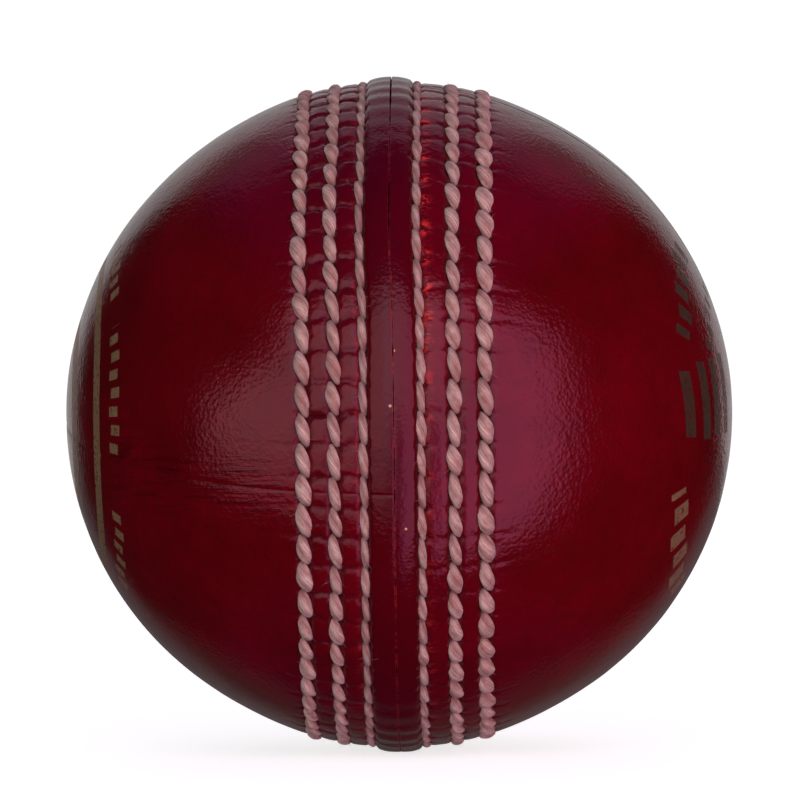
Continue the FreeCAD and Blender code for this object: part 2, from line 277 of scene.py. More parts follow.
def leather_height(side, t, phi, joint_distance):
    """Ball centre to the outer face of the leather, and how hollow the spot is from 0 to 1."""
    a = np.radians(phi)
    s = MEAN_RADIUS * np.sin(np.radians(t))
    points = np.stack([side * s, -np.cos(a) * MEAN_RADIUS * np.cos(np.radians(t)), np.sin(a) * MEAN_RADIUS * np.cos(np.radians(t))], 1)
    level = crown(t)
    edge = LIP_EDGE_X[side] + 0.05 * np.cos(2 * np.pi * hole_number(phi)) + 0.05 * smooth_noise(points, 4.0, SEED + 5)
    on_lip = 1 - fade(s, edge - 0.30, edge + 0.18)
    lip = (LIP_RISE - 0.42 * np.clip(s / edge, 0, 1) ** 2.2) * on_lip
    ribs = 0.06 * fade(np.abs(angle_from(phi, 0)), 42, 70) * np.cos(2 * np.pi * hole_number(phi)) * on_lip
    drop = seam_relief(side, s, phi, points)
    joint = 0.10 * np.exp(-((joint_distance / 0.11) ** 2)) + 0.025 * np.exp(-((joint_distance / 0.45) ** 2))
    joint *= 0.75 + 0.25 * smooth_noise(points, 3.0, SEED + 8)
    waves = 0.03 * smooth_noise(points, 6.0, SEED + 1) + 0.012 * smooth_noise(points, 1.7, SEED + 2)
    fine = 0.004 * smooth_noise(points, 0.55, SEED + 4)
    r = level + lip - ribs - drop - joint + waves + fine
    # hollow: how far the leather sinks, from 0 to 1; the leather material paints shade with it in the channels, holes,
    # creases and joint
    hollow = np.clip((drop + 1.3 * joint) / 0.45, 0, 1)
    front = 1 - fade(np.abs(angle_from(phi, 42)), 22, 40)
    at_hole = np.exp(-(((hole_number(phi) - np.round(hole_number(phi))) * 3.3 / 0.95) ** 2))
    dye = np.exp(-(((s - 3.55) / 0.5) ** 2)) * at_hole * (0.22 + 0.78 * front if side > 0 else 0.15)
    # pucker: where the grain stretches beside the quarter seam; it drives bump streaks and painted shade along them
    pucker = np.exp(-((joint_distance / 3.6) ** 2)) * fade(s, 10.5, 12.5) * (1 - fade(s, 27, 33))
    return r, hollow, dye, (s < edge).astype(float), pucker


def place(side, r, t, phi, wander_share):
    """Points at distance r from the centre, angle t from the seam plane and ring angle phi."""
    a, b = np.radians(phi), np.radians(t)
    x = side * r * np.sin(b)
    x = x + seam_wander(phi, x) * wander_share
    return np.stack([x, -np.cos(a) * r * np.cos(b), np.sin(a) * r * np.cos(b)], 1)


def column_angles(start, columns):
    """Ring angles of a quarter's columns, drawn together beside its two joints."""
    finest = 34 * SUBDIVISIONS
    i = np.arange(finest + 1, dtype=float)
    near = SUBDIVISIONS / 2
    i = np.where(i < near, near * (i / near) ** 1.6, i)
    back = finest - np.arange(finest + 1, dtype=float)
    i = np.where(back < near, finest - near * (back / near) ** 1.6, i)
    return (start + 180.0 * i / finest)[:: finest // columns]


def outer_rows():
    """(angle from the seam plane, columns) of each ring on the outer face, from the cheek to the lip."""
    full = 34 * SUBDIVISIONS
    arcs = np.concatenate([np.arange(0.15, 11.6, 0.17), np.arange(11.7, 16.3, 0.25), np.arange(16.6, 56.2, 0.55)])
    rows = []
    for arc in arcs[::-1]:
        t = math.degrees(arc / MEAN_RADIUS)
        columns = full
        for limit, share in ((26.5, 2), (55, 4), (72, 8), (81, 16), (86, 32)):
            if t > limit:
                columns = full // share
        rows.append((t, columns))
    return rows


def leather_quarter(name, side, start):
    """One quarter of the cover as a closed shell: outer face, lip, inner face and the joint face."""
    points, counts = [], []
    looks = {"hollow": [], "dye": [], "lip": [], "pucker": []}

    def add(ring, columns, depth, *others):
        points.append(ring)
        counts.append(columns)
        others = others or [np.zeros(len(ring))] * 3
        for numbers, values in zip(looks.values(), (depth, *others)):
            numbers.append(values)

    pole = place(side, np.array([CHEEK_RADIUS]), np.array([90.0]), np.array([start]), 0.0)
    add(pole, 0, np.zeros(1))
    rows = outer_rows()
    for t, columns in rows:
        phi = column_angles(start, columns)
        ring_t = np.full(len(phi), t)
        distance = np.abs(np.sin(np.radians(phi - start))) * MEAN_RADIUS * math.cos(math.radians(t))
        r, *values = leather_height(side, ring_t, phi, distance)
        add(place(side, r, ring_t, phi, 1.0), columns, *values)
    full = rows[-1][1]
    crest = np.linalg.norm(points[-1] - [1, 0, 0] * points[-1][:, :1], axis=1)
    phi = column_angles(start, full)
    a = np.radians(phi)
    at = np.stack([np.zeros(len(a)), -np.cos(a) * 36, np.sin(a) * 36], 1)
    broken = smooth_noise(at, 7.0, SEED + 6) + 0.6 * smooth_noise(at, 0.9, SEED + 7) + 0.2
    half_gap = 0.02 + 0.05 * np.clip(broken, 0, 1) + 0.06 * fade(np.abs(angle_from(phi, 73)), 15, 6)
    for step, (fall, columns) in enumerate(((0.05, full), (0.3, full), (0.8, full), (1.5, full // 2), (2.6, full // 4))):
        every = full // columns
        x = side * half_gap[::every] * (0.9 if fall < 1 else 0.3)
        r = crest[::every] - fall
        a_here = a[::every]
        ring = np.stack([x + seam_wander(phi[::every], x), -np.cos(a_here) * r, np.sin(a_here) * r], 1)
        # the walls of the closing gap count as hollow, so the leather material paints shade on them
        bare = np.full(columns + 1, 0.3 if fall < 0.1 else 0.0)
        add(ring, columns, np.ones(columns + 1) * (0.6 if fall < 0.1 else 1), bare, bare * 0, bare * 0)
    inner_columns = full // 4
    for t in (0.05, 2, 4, 5.5, 7, 8.2, 9.2, 10.2, 11.5, 13, 14.2, 15.2, 16.5, 18, 21, 25, 30, 36, 42, 48, 54, 60, 66, 72, 78, 84):
        columns = inner_columns // (1 if t < 50 else 2 if t < 70 else 4)
        phi_here = column_angles(start, columns)
        x = LEATHER_INNER_RADIUS * math.sin(math.radians(t))
        groove = sum(0.85 * math.exp(-(abs((x - row_x * 0.9) / 0.9) ** 4)) for row_x in ROWS_X[side][1:])
        r = np.full(len(phi_here), LEATHER_INNER_RADIUS + groove)
        add(place(side, r, np.full(len(phi_here), float(t)), phi_here, 0.0), columns, np.zeros(columns + 1))
    add(place(side, np.array([LEATHER_INNER_RADIUS]), np.array([90.0]), np.array([start]), 0.0), 0, np.zeros(1))

    starts = np.concatenate([[0], np.cumsum([len(p) for p in points])])
    quads, triangles = [], []
    for i in range(1, len(points) - 2):
        q, f = ring_faces(starts[i], counts[i], starts[i + 1], counts[i + 1])
        quads += q
        triangles += f
    j = np.arange(counts[1])
    triangles.append(np.stack([np.zeros_like(j), starts[1] + j + 1, starts[1] + j], 1))
    j = np.arange(counts[-2])
    triangles.append(np.stack([starts[-3] + j, starts[-3] + j + 1, np.full_like(j, starts[-2])], 1))
    middle = range(1, len(points) - 1)
    there = [0] + [starts[i] for i in middle] + [starts[-2]]
    back = [starts[i] + counts[i] for i in reversed(middle)]
    joint_face = np.array([there + back])
    everything = np.concatenate(points)
    polygons = [np.concatenate(quads), np.concatenate(triangles), joint_face]
    polygons = outward(everything, polygons)
    return mesh_object(name, everything, polygons, values={k: np.concatenate(v) for k, v in looks.items()})


# ---- thread ----
def parallel_frames(path):
    """Two directions square to the path at each point, turning as little as they can."""
    tangent = np.gradient(path, axis=0)
    tangent /= np.linalg.norm(tangent, axis=1)[:, None]
    first = np.cross(tangent[0], [0.31, 0.52, 0.79])
    first /= np.linalg.norm(first)
    sides = [first]
    for i in range(1, len(path)):
        s = sides[-1] - tangent[i] * np.dot(sides[-1], tangent[i])
        sides.append(s / np.linalg.norm(s))
    one = np.array(sides)
    return tangent, one, np.cross(tangent, one)


STRAND_DIPS = 12


def strand_mesh(name, path, radial, half_width, half_height, around=48, plies=3, lay=8.0, hairs=None):
    """A plied thread along path. Where half_width and half_height differ it lies flattened on the ball."""
    tangent, one, two = parallel_frames(path)
    length = np.concatenate([[0], np.cumsum(np.linalg.norm(np.diff(path, axis=0), axis=1))])
    theta = np.linspace(0, 2 * np.pi, around, endpoint=False)
    turn = 2 * np.pi * length / lay
    angle = theta[None, :] + turn[:, None] * 0
    unit = np.cos(angle)[..., None] * one[:, None, :] + np.sin(angle)[..., None] * two[:, None, :]
    out = radial - tangent * np.einsum("ij,ij->i", radial, tangent)[:, None]
    size = np.linalg.norm(out, axis=1)[:, None]
    out = np.where(size > 0.2, out / np.maximum(size, 1e-9), one)
    across = np.cross(tangent, out)
    phase = theta[None, :] + turn[:, None]
    fine = np.abs(np.sin(phase * STRAND_DIPS / 2)) ** 0.7
    ply = np.abs(np.sin(phase * plies / 2)) ** 0.5
    lobes = 0.82 + 0.08 * fine + 0.13 * ply
    # groove, between the plies, drives painted shade in the thread's colour
    groove = np.clip(0.75 * (1 - fine) + 1.2 * (1 - ply), 0, 1)
    # near_end_shade: 1 where the stitch dives into its hole, and it drives painted shade there
    near_end_shade = 1 - np.clip((half_width - THREAD_RADIUS) / (0.6 * (half_width.max() - THREAD_RADIUS)), 0, 1)
    w = (unit * across[:, None, :]).sum(2) * half_width[:, None]
    h = (unit * out[:, None, :]).sum(2) * half_height[:, None]
    ring = path[:, None, :] + lobes[..., None] * (w[..., None] * across[:, None, :] + h[..., None] * out[:, None, :])
    rings = len(path)
    points = ring.reshape(-1, 3)
    i, j = np.meshgrid(np.arange(rings - 1), np.arange(around), indexing="ij")
    i, j = i.ravel(), j.ravel()
    k = (j + 1) % around
    quads = np.stack([i * around + j, i * around + k, (i + 1) * around + k, (i + 1) * around + j], 1)
    turns = turn / (2 * np.pi)
    uv = np.stack([
        np.stack([j / around + turns[i], length[i]], 1),
        np.stack([(j + 1) / around + turns[i], length[i]], 1),
        np.stack([(j + 1) / around + turns[i + 1], length[i + 1]], 1),
        np.stack([j / around + turns[i + 1], length[i + 1]], 1),
    ], 1)
    j = np.arange(around)
    k = (j + 1) % around
    groove = np.concatenate([groove.ravel(), [0, 0]])
    near_end_shade = np.concatenate([np.repeat(near_end_shade, around), [1, 1]])
    points = np.concatenate([points, path[:1], path[-1:]])
    first_cap = np.stack([np.full(around, rings * around), k, j], 1)
    last = (rings - 1) * around
    last_cap = np.stack([np.full(around, rings * around + 1), last + j, last + k], 1)
    caps = np.concatenate([first_cap, last_cap])
    polygons = [quads, caps]
    uv_all = np.concatenate([uv.reshape(-1, 2), np.zeros((caps.size, 2))])
    if hairs is not None:
        hair_points, hair_faces = hairs
        polygons.append(hair_faces + len(points))
        points = np.concatenate([points, hair_points])
        uv_all = np.concatenate([uv_all, np.zeros((hair_faces.size, 2))])
        groove = np.concatenate([groove, np.zeros(len(hair_points))])
        near_end_shade = np.concatenate([near_end_shade, np.zeros(len(hair_points))])
    return mesh_object(name, points, polygons, strand_uv=uv_all, values={"groove": groove, "near_end_shade": near_end_shade},
                       sharp=math.pi)


def ring_direction(phi):
    a = np.radians(phi)
    return np.stack([np.zeros_like(a), -np.cos(a), np.sin(a)], -1)


def seam_point(x, r, phi):
    """Point at signed distance x along the seam's axis and r from the ball's centre."""
    ring = np.sqrt(np.maximum(r * r - x * x, 0))
    return np.stack([x + seam_wander(phi, x), *(ring_direction(phi) * ring[..., None]).T[1:]], -1)


ROW_LOOK = {  # row: half width and half height of a stitch, and the height of its middle
    0: (0.46, 0.40, 35.72),
    1: (0.68, 0.46, 35.84),
    2: (0.78, 0.48, 35.88),
}
RIGHT_WIDER = (1.14, 1.04, 1.10)  # how much wider than on the left the stitches on the right are, by row
SLANTS = (0.16, 0.36, 0.39)  # half the sideways shift of a stitch that shows, by row
STITCH_STEPS = 26
ENTRY_RADIUS = 35.0
THREAD_RADIUS = 0.30


def stitch_path(side, row, k, rng):
    """Centre line, half widths and half heights of the stitch that shows from hole k to hole k + 1."""
    wide, high, top = ROW_LOOK[row]
    wide *= RIGHT_WIDER[row] if side > 0 else 1.0
    v = np.linspace(0, 1, STITCH_STEPS)
    v = 0.5 - 0.5 * np.cos(np.pi * v) * (0.75 + 0.25 * np.abs(np.cos(np.pi * v)))
    shift = HOLE_SHIFT[side, row]
    start = FIRST_HOLE + (k + shift[k % STITCHES]) * PITCH
    end = FIRST_HOLE + (k + 1 + shift[(k + 1) % STITCHES]) * PITCH
    reach = 0.0
    phi = (start - reach) + (end - start + 2 * reach) * v
    rise = np.sin(np.pi * v)
    x = side * ROWS_X[side][row] + SLANTS[row] * (1 - 2 * v) * rng.uniform(0.75, 1.2) + rng.uniform(-0.06, 0.06)
    r = ENTRY_RADIUS + (top + rng.uniform(-0.07, 0.07) - ENTRY_RADIUS) * rise**0.55
    w = THREAD_RADIUS + (wide * rng.uniform(0.82, 1.12) - THREAD_RADIUS) * rise**0.78
    h = THREAD_RADIUS + (high * rng.uniform(0.88, 1.06) - THREAD_RADIUS) * rise
    return x, r, phi, w, h


def hidden_leg(x_from, x_to, r_from, r_run, r_to, phi_from, phi_to):
    """Hidden part of a strand, down from one hole, along under the leather and up the next."""
    down = np.linspace(r_from, r_run, 5)[1:]
    run = np.linspace(0, 1, 7)[1:-1]
    up = np.linspace(r_run, r_to, 5)[:-1]
    x = np.concatenate([np.full(4, x_from), x_from + (x_to - x_from) * run, np.full(4, x_to)])
    r = np.concatenate([down, np.full(5, r_run), up])
    phi = np.concatenate([np.full(4, phi_from), phi_from + (phi_to - phi_from) * run, np.full(4, phi_to)])
    return x, r, phi


def joined(parts):
    """Concatenates parts of (x, r, phi, half width, half height)."""
    return [np.concatenate([p[i] for p in parts]) for i in range(5)]


def hidden_part(*leg):
    x, r, phi = hidden_leg(*leg)
    return x, r, phi, np.full(len(x), THREAD_RADIUS), np.full(len(x), THREAD_RADIUS)


def stitch_hairs(path, radial, half_width, rng, count):
    """Loose fibre ends that stand off the stitches, as thin three-sided spikes."""
    points, faces = [], []
    shown = np.flatnonzero(half_width > THREAD_RADIUS * 1.3)
    for n in range(count):
        i = rng.choice(shown)
        out = radial[i]
        along = path[min(i + 1, len(path) - 1)] - path[i - 1]
        along /= np.linalg.norm(along)
        across = np.cross(along, out)
        lean = rng.uniform(-1.2, 1.2)
        way = out * rng.uniform(0.25, 1.0) + across * lean + along * rng.uniform(-1, 1)
        way /= np.linalg.norm(way)
        base = path[i] + across * np.clip(lean, -1, 1) * half_width[i] * 0.75 + out * 0.3
        reach = rng.uniform(0.25, 0.85)
        thick = 0.012
        bend = rng.normal(size=3) * 0.25 * reach
        spots = [base, base + way * reach * 0.5 + bend * 0.5, base + way * reach + bend * 1.4]
        first = sum(len(p) for p in points)
        ring = [thick * (math.cos(a) * across + math.sin(a) * along) for a in (0, 2.1, 4.2)]
        points.append(np.array([spots[0] + q for q in ring] + [spots[1] + q * 0.8 for q in ring] + [spots[2]]))
        for a in range(3):
            b = (a + 1) % 3
            faces += [(first + a, first + b, first + 3 + b), (first + a, first + 3 + b, first + 3 + a)]
            faces.append((first + 3 + a, first + 3 + b, first + 6))
        faces.append((first, first + 2, first + 1))
    return np.concatenate(points), np.array(faces)


def finish_strand(name, parts, rng, hair_count, around=48):
    x, r, phi, w, h = joined(parts)
    path = seam_point(x, r, phi)
    shown = w > THREAD_RADIUS * 1.02
    smooth = path.copy()
    for _ in range(2):
        smooth[1:-1] = (smooth[:-2] + 2 * smooth[1:-1] + smooth[2:]) / 4
        smooth[shown] = path[shown] * 0.6 + smooth[shown] * 0.4
    radial = smooth / np.linalg.norm(smooth, axis=1)[:, None]
    hairs = stitch_hairs(smooth, radial, w, rng, hair_count)
    return strand_mesh(name, smooth, radial, w, h, around, hairs=hairs)


def row_strand(name, side, row, first, seed):
    """A strand of the middle or outer row, showing over every second stitch."""
    rng = np.random.default_rng(SEED + seed)
    run_radius = LEATHER_INNER_RADIUS + THREAD_RADIUS + 0.05
    parts = []
    for k in range(first, first + STITCHES, 2):
        shown = stitch_path(side, row, k, rng)
        if parts:
            before = parts[-1]
            parts.append(hidden_part(before[0][-1], shown[0][0], before[1][-1], run_radius, shown[1][0],
                                     before[2][-1], shown[2][0]))
        parts.append(shown)
    return finish_strand(name, parts, rng, 150)


def closing_strand(name, first, seed):
    """A strand of the closing row: a stitch on the left, a pass under the lips, a stitch on the right."""
    rng = np.random.default_rng(SEED + seed)
    parts = []

    def cross(before, after, depth):
        steps = np.linspace(0, 1, 9)[1:-1]
        x = before[0][-1] + (after[0][0] - before[0][-1]) * steps
        phi = before[2][-1] + (after[2][0] - before[2][-1]) * steps
        r_before = np.linspace(before[1][-1], depth, 4)[1:]
        r_after = np.linspace(depth, after[1][0], 4)[:-1]
        x = np.concatenate([np.full(3, before[0][-1]), x, np.full(3, after[0][0])])
        phi = np.concatenate([np.full(3, before[2][-1]), phi, np.full(3, after[2][0])])
        r = np.concatenate([r_before, np.full(len(steps), depth), r_after])
        parts.append((x, r, phi, np.full(len(x), THREAD_RADIUS), np.full(len(x), THREAD_RADIUS)))

    for k in range(first, first + STITCHES, 2):
        left = stitch_path(-1, 0, k, rng)
        right = stitch_path(1, 0, k + 1, rng)
        if parts:
            cross(parts[-1], left, SHALLOW_CROSSING)
        parts.append(left)
        cross(left, right, DEEP_CROSSING)
        parts.append(right)
    return finish_strand(name, parts, rng, 200, around=36)


# ---- material helpers ----
def new_material(name):
    material = bpy.data.materials.new(name)
    material.use_nodes = True
    tree = material.node_tree
    shader = tree.nodes["Principled BSDF"]
    return material, tree, shader


def node(tree, kind, inputs=None, **settings):
    made = tree.nodes.new(kind)
    for key, value in settings.items():
        setattr(made, key, value)
    for key, value in (inputs or {}).items():
        if isinstance(value, bpy.types.NodeSocket):
            tree.links.new(value, made.inputs[key])
        else:
            made.inputs[key].default_value = value
    return made


def math_node(tree, operation, a, b=0.0, clamp=False):
    return node(tree, "ShaderNodeMath", {0: a, 1: b}, operation=operation, use_clamp=clamp).outputs[0]


def noise(tree, where, scale, detail=3.0, roughness=0.5):
    return node(tree, "ShaderNodeTexNoise",
                {"Vector": where, "Scale": scale, "Detail": detail, "Roughness": roughness}).outputs["Fac"]


def ranged(tree, value, low, high, to_low=0.0, to_high=1.0):
    return node(tree, "ShaderNodeMapRange",
                {"Value": value, "From Min": low, "From Max": high, "To Min": to_low, "To Max": to_high}).outputs[0]


def mixed(tree, factor, a, b):
    made = node(tree, "ShaderNodeMix", data_type="RGBA")
    for socket, value in ((made.inputs[0], factor), (made.inputs[6], a), (made.inputs[7], b)):
        if isinstance(value, bpy.types.NodeSocket):
            tree.links.new(value, socket)
        else:
            socket.default_value = value
    return made.outputs[2]


def bumped(tree, height, strength, distance, below=None):
    inputs = {"Height": height, "Strength": strength, "Distance": distance}
    if below is not None:
        inputs["Normal"] = below
    return node(tree, "ShaderNodeBump", inputs).outputs[0]


def paint(piece, material):
    piece.data.materials.clear()
    piece.data.materials.append(material)


def within(tree, value, centre, half, soft=0.0001):
    """1 where value is within half of centre, 0 beyond, in metres."""
    away = math_node(tree, "ABSOLUTE", math_node(tree, "SUBTRACT", value, centre))
    return ranged(tree, away, half, half + soft, 1.0, 0.0)


def product(tree, *factors):
    result = factors[0]
    for factor in factors[1:]:
        result = math_node(tree, "MULTIPLY", result, factor)
    return result


def foil_masks(tree, where):
    """Plain foil on both cheeks as (bright, dim) masks: rings, rows of short marks and a few upright bars."""
    x, y, z = node(tree, "ShaderNodeSeparateXYZ", {0: where}).outputs
    rho = math_node(tree, "SQRT", math_node(tree, "ADD", product(tree, y, y), product(tree, z, z)))
    turn = math_node(tree, "ARCTAN2", z, math_node(tree, "MULTIPLY", y, -1.0))
    left = ranged(tree, x, -0.018, -0.019)
    right = ranged(tree, x, 0.018, 0.019)

    def row_of_marks(cheek, radius, half, count, share, low, high):
        """Short radial marks, every second one a stub, between two turns in degrees."""
        phase = math_node(tree, "FRACT", math_node(tree, "MULTIPLY", turn, count / (2 * math.pi)))
        beat = math_node(tree, "FRACT", math_node(tree, "MULTIPLY", turn, count / (4 * math.pi)))
        inner = math_node(tree, "ADD", radius, math_node(tree, "MULTIPLY", ranged(tree, beat, 0.49, 0.51), 0.45 * half))
        middle, reach = math.radians((low + high) / 2), math.radians((high - low) / 2)
        return product(tree, cheek, within(tree, rho, inner, half), within(tree, turn, middle, reach, 0.01),
                       ranged(tree, phase, share, share + 0.06, 1.0, 0.0))

    bright = [
        product(tree, left, within(tree, rho, 0.0172, 0.00062)),
        product(tree, left, within(tree, rho, 0.0105, 0.0011)),
        row_of_marks(left, 0.0200, 0.00062, 66, 0.52, 37, 66),
        row_of_marks(left, 0.0204, 0.00060, 66, 0.52, -12, 27),
        row_of_marks(left, 0.0204, 0.00062, 66, 0.52, -60, -29),
        row_of_marks(right, 0.0201, 0.00105, 42, 0.62, -68, -24),
    ]
    dim = [
        row_of_marks(right, 0.0192, 0.00105, 48, 0.55, 24, 66),
        row_of_marks(right, 0.0140, 0.00070, 40, 0.50, 24, 75),
    ]
    for bar, (centre, half_height) in enumerate(((-0.0187, 0.0034), (-0.0152, 0.0040), (-0.0122, 0.0040), (-0.0089, 0.0042))):
        lean = math_node(tree, "ADD", y, math_node(tree, "MULTIPLY", z, 0.12))
        dim.append(product(tree, right, within(tree, lean, centre, 0.00085), within(tree, z, 0.0008 + 0.0004 * bar, half_height)))
    worn = ranged(tree, noise(tree, where, 2100.0, 4.0, 0.75), 0.36, 0.46)

    def together(marks):
        total = marks[0]
        for mark in marks[1:]:
            total = math_node(tree, "MAXIMUM", total, mark)
        return product(tree, total, worn)
    return together(bright), together(dim)


def leather_material():
    """Polished dyed leather: cloudy red with painted shade in the creases, holes, seam joint and wrinkle streaks,
    duller in the creases, with fine grain and worn foil.
    """
    material, tree, shader = new_material("red_leather")
    where = node(tree, "ShaderNodeTexCoord").outputs["Object"]
    hollow = node(tree, "ShaderNodeAttribute", attribute_name="hollow").outputs["Fac"]
    dye = node(tree, "ShaderNodeAttribute", attribute_name="dye").outputs["Fac"]
    lip = node(tree, "ShaderNodeAttribute", attribute_name="lip").outputs["Fac"]
    pucker = node(tree, "ShaderNodeAttribute", attribute_name="pucker").outputs["Fac"]
    cloudy = noise(tree, where, 90.0, 4.0, 0.55)
    mottled = noise(tree, where, 700.0, 3.0, 0.6)
    long_way = node(tree, "ShaderNodeMapping", {"Vector": where, "Scale": (150.0, 150.0, 1500.0)}).outputs[0]
    streaks = noise(tree, long_way, 1.0, 3.0, 0.6)
    # painted shade along the stretched wrinkle streaks near the quarter seam
    streak_shade = product(tree, pucker, ranged(tree, streaks, 0.50, 0.64))
    red = mixed(tree, ranged(tree, cloudy, 0.35, 0.65), (0.088, 0.0003, 0.0022, 1), (0.128, 0.0003, 0.0040, 1))
    red = mixed(tree, ranged(tree, mottled, 0.4, 0.75, 0.0, 0.35), red, (0.060, 0.0003, 0.002, 1))
    red = mixed(tree, product(tree, streak_shade, 0.8), red, (0.035, 0.0002, 0.0015, 1))
    # painted shade: the leather is painted darker where it is hollow, in the stitch channels, holes, creases, seam
    # joint and closing gap
    red = mixed(tree, math_node(tree, "MULTIPLY", hollow, 0.6), red, (0.055, 0.0003, 0.0040, 1))
    spiky = node(tree, "ShaderNodeMapping", {"Vector": where, "Scale": (700.0, 1500.0, 1500.0)}).outputs[0]
    red = mixed(tree, math_node(tree, "MULTIPLY", lip, 0.5), red, (0.050, 0.0003, 0.0030, 1))
    flecks = product(tree, ranged(tree, noise(tree, spiky, 1.0, 4.0, 0.75), 0.47, 0.56), dye)
    red = mixed(tree, flecks, red, (0.78, 0.040, 0.028, 1))
    spots = node(tree, "ShaderNodeTexVoronoi", {"Vector": where, "Scale": 600.0}, feature="F1")
    chosen = ranged(tree, node(tree, "ShaderNodeSeparateColor", {0: spots.outputs["Color"]}).outputs[0], 0.30, 0.31)
    height = node(tree, "ShaderNodeSeparateXYZ", {0: where}).outputs[2]
    dot = product(tree, ranged(tree, spots.outputs["Distance"], 0.075, 0.105, 1.0, 0.0), chosen, lip,
                  within(tree, height, -0.003, 0.011))
    bright, dim = foil_masks(tree, where)
    foil_colour = mixed(tree, mottled, (0.17, 0.10, 0.045, 1), (0.32, 0.21, 0.11, 1))
    red = mixed(tree, dim, red, mixed(tree, mottled, (0.045, 0.030, 0.016, 1), (0.080, 0.058, 0.034, 1)))
    red = mixed(tree, bright, red, foil_colour)
    tree.links.new(mixed(tree, dot, red, (0.62, 0.36, 0.17, 1)), shader.inputs["Base Color"])
    foil = math_node(tree, "MAXIMUM", bright, dim)
    tree.links.new(math_node(tree, "MULTIPLY", foil, 0.25), shader.inputs["Metallic"])
    rough = ranged(tree, mottled, 0.3, 0.7, 0.13, 0.19)
    rough = math_node(tree, "ADD", rough, math_node(tree, "MULTIPLY", hollow, 0.3))
    rough = math_node(tree, "ADD", rough, math_node(tree, "MULTIPLY", foil, 0.2))
    tree.links.new(rough, shader.inputs["Roughness"])
    grain = node(tree, "ShaderNodeTexVoronoi", {"Vector": where, "Scale": 2300.0}, feature="F1").outputs["Distance"]
    wrinkle = noise(tree, where, 1500.0, 4.0, 0.6)
    relief = bumped(tree, grain, 0.18, 0.00012)
    wrinkle = product(tree, wrinkle, ranged(tree, hollow, 0.0, 0.6, 1.0, 3.5))
    relief = bumped(tree, wrinkle, 0.26, 0.00015, relief)
    relief = bumped(tree, product(tree, streaks, pucker), 0.5, 0.0003, relief)
    tree.links.new(relief, shader.inputs["Normal"])
    shader.inputs["IOR"].default_value = 1.5
    tree.links.new(ranged(tree, lip, 0.0, 1.0, 0.5, 0.43), shader.inputs["Specular IOR Level"])
    shader.inputs["Specular Tint"].default_value = (1.0, 0.55, 0.68, 1.0)
    return material


def thread_material():
    """Pale linen thread with pink and brown stain, painted shade in the grooves between its strands and painted shade
    where each stitch dives into its hole.
    """
    material, tree, shader = new_material("seam_thread")
    uv = node(tree, "ShaderNodeUVMap", uv_map="strand").outputs[0]
    where = node(tree, "ShaderNodeTexCoord").outputs["Object"]
    groove = node(tree, "ShaderNodeAttribute", attribute_name="groove").outputs["Fac"]
    near_end_shade = node(tree, "ShaderNodeAttribute", attribute_name="near_end_shade").outputs["Fac"]
    stretched = node(tree, "ShaderNodeMapping", {"Vector": uv, "Scale": (44.0, 0.7, 1.0)}).outputs[0]
    fibres = noise(tree, stretched, 1.0, 4.0, 0.75)
    stain = noise(tree, where, 420.0, 3.0, 0.65)
    colour = mixed(tree, ranged(tree, fibres, 0.36, 0.60), (0.27, 0.12, 0.088, 1), (0.90, 0.65, 0.535, 1))
    colour = mixed(tree, ranged(tree, stain, 0.45, 0.66, 0.0, 0.6), colour, (0.46, 0.20, 0.155, 1))
    # painted shade in the grooves between the plies, stronger where the stain noise is high
    deep = product(tree, groove, ranged(tree, stain, 0.30, 0.60, 0.45, 0.95))
    colour = mixed(tree, deep, colour, (0.24, 0.075, 0.06, 1))
    # painted shade where each stitch dives into its hole
    colour = mixed(tree, math_node(tree, "MULTIPLY", near_end_shade, 0.55), colour, (0.17, 0.045, 0.05, 1))
    tree.links.new(colour, shader.inputs["Base Color"])
    shader.inputs["Roughness"].default_value = 0.8
    shader.inputs["Sheen Weight"].default_value = 0.2
    shader.inputs["Sheen Roughness"].default_value = 0.5
    tree.links.new(bumped(tree, fibres, 0.9, 0.00016), shader.inputs["Normal"])
    return material


def yarn_material():
    """Cream worsted yarn wound in all directions: fine strands with a fuzzy nap."""
    material, tree, shader = new_material("worsted_yarn")
    where = node(tree, "ShaderNodeTexCoord").outputs["Object"]
    uv = node(tree, "ShaderNodeUVMap", uv_map="strand").outputs[0]
    twist = node(tree, "ShaderNodeTexWave", {"Vector": uv, "Scale": 1.6, "Distortion": 1.2, "Detail": 2.0},
                 bands_direction="DIAGONAL").outputs["Fac"]
    nap = noise(tree, where, 2600.0, 4.0, 0.7)
    tone = noise(tree, where, 160.0, 3.0, 0.5)
    colour = mixed(tree, ranged(tree, tone, 0.35, 0.65), (0.56, 0.45, 0.30, 1), (0.72, 0.62, 0.46, 1))
    colour = mixed(tree, ranged(tree, twist, 0.0, 0.5, 0.5, 0.0), colour, (0.34, 0.25, 0.15, 1))
    tree.links.new(colour, shader.inputs["Base Color"])
    tree.links.new(ranged(tree, nap, 0.3, 0.7, 0.8, 0.98), shader.inputs["Roughness"])
    shader.inputs["Sheen Weight"].default_value = 0.4
    relief = bumped(tree, twist, 0.5, 0.0001)
    tree.links.new(bumped(tree, nap, 0.5, 0.00012, relief), shader.inputs["Normal"])
    return material


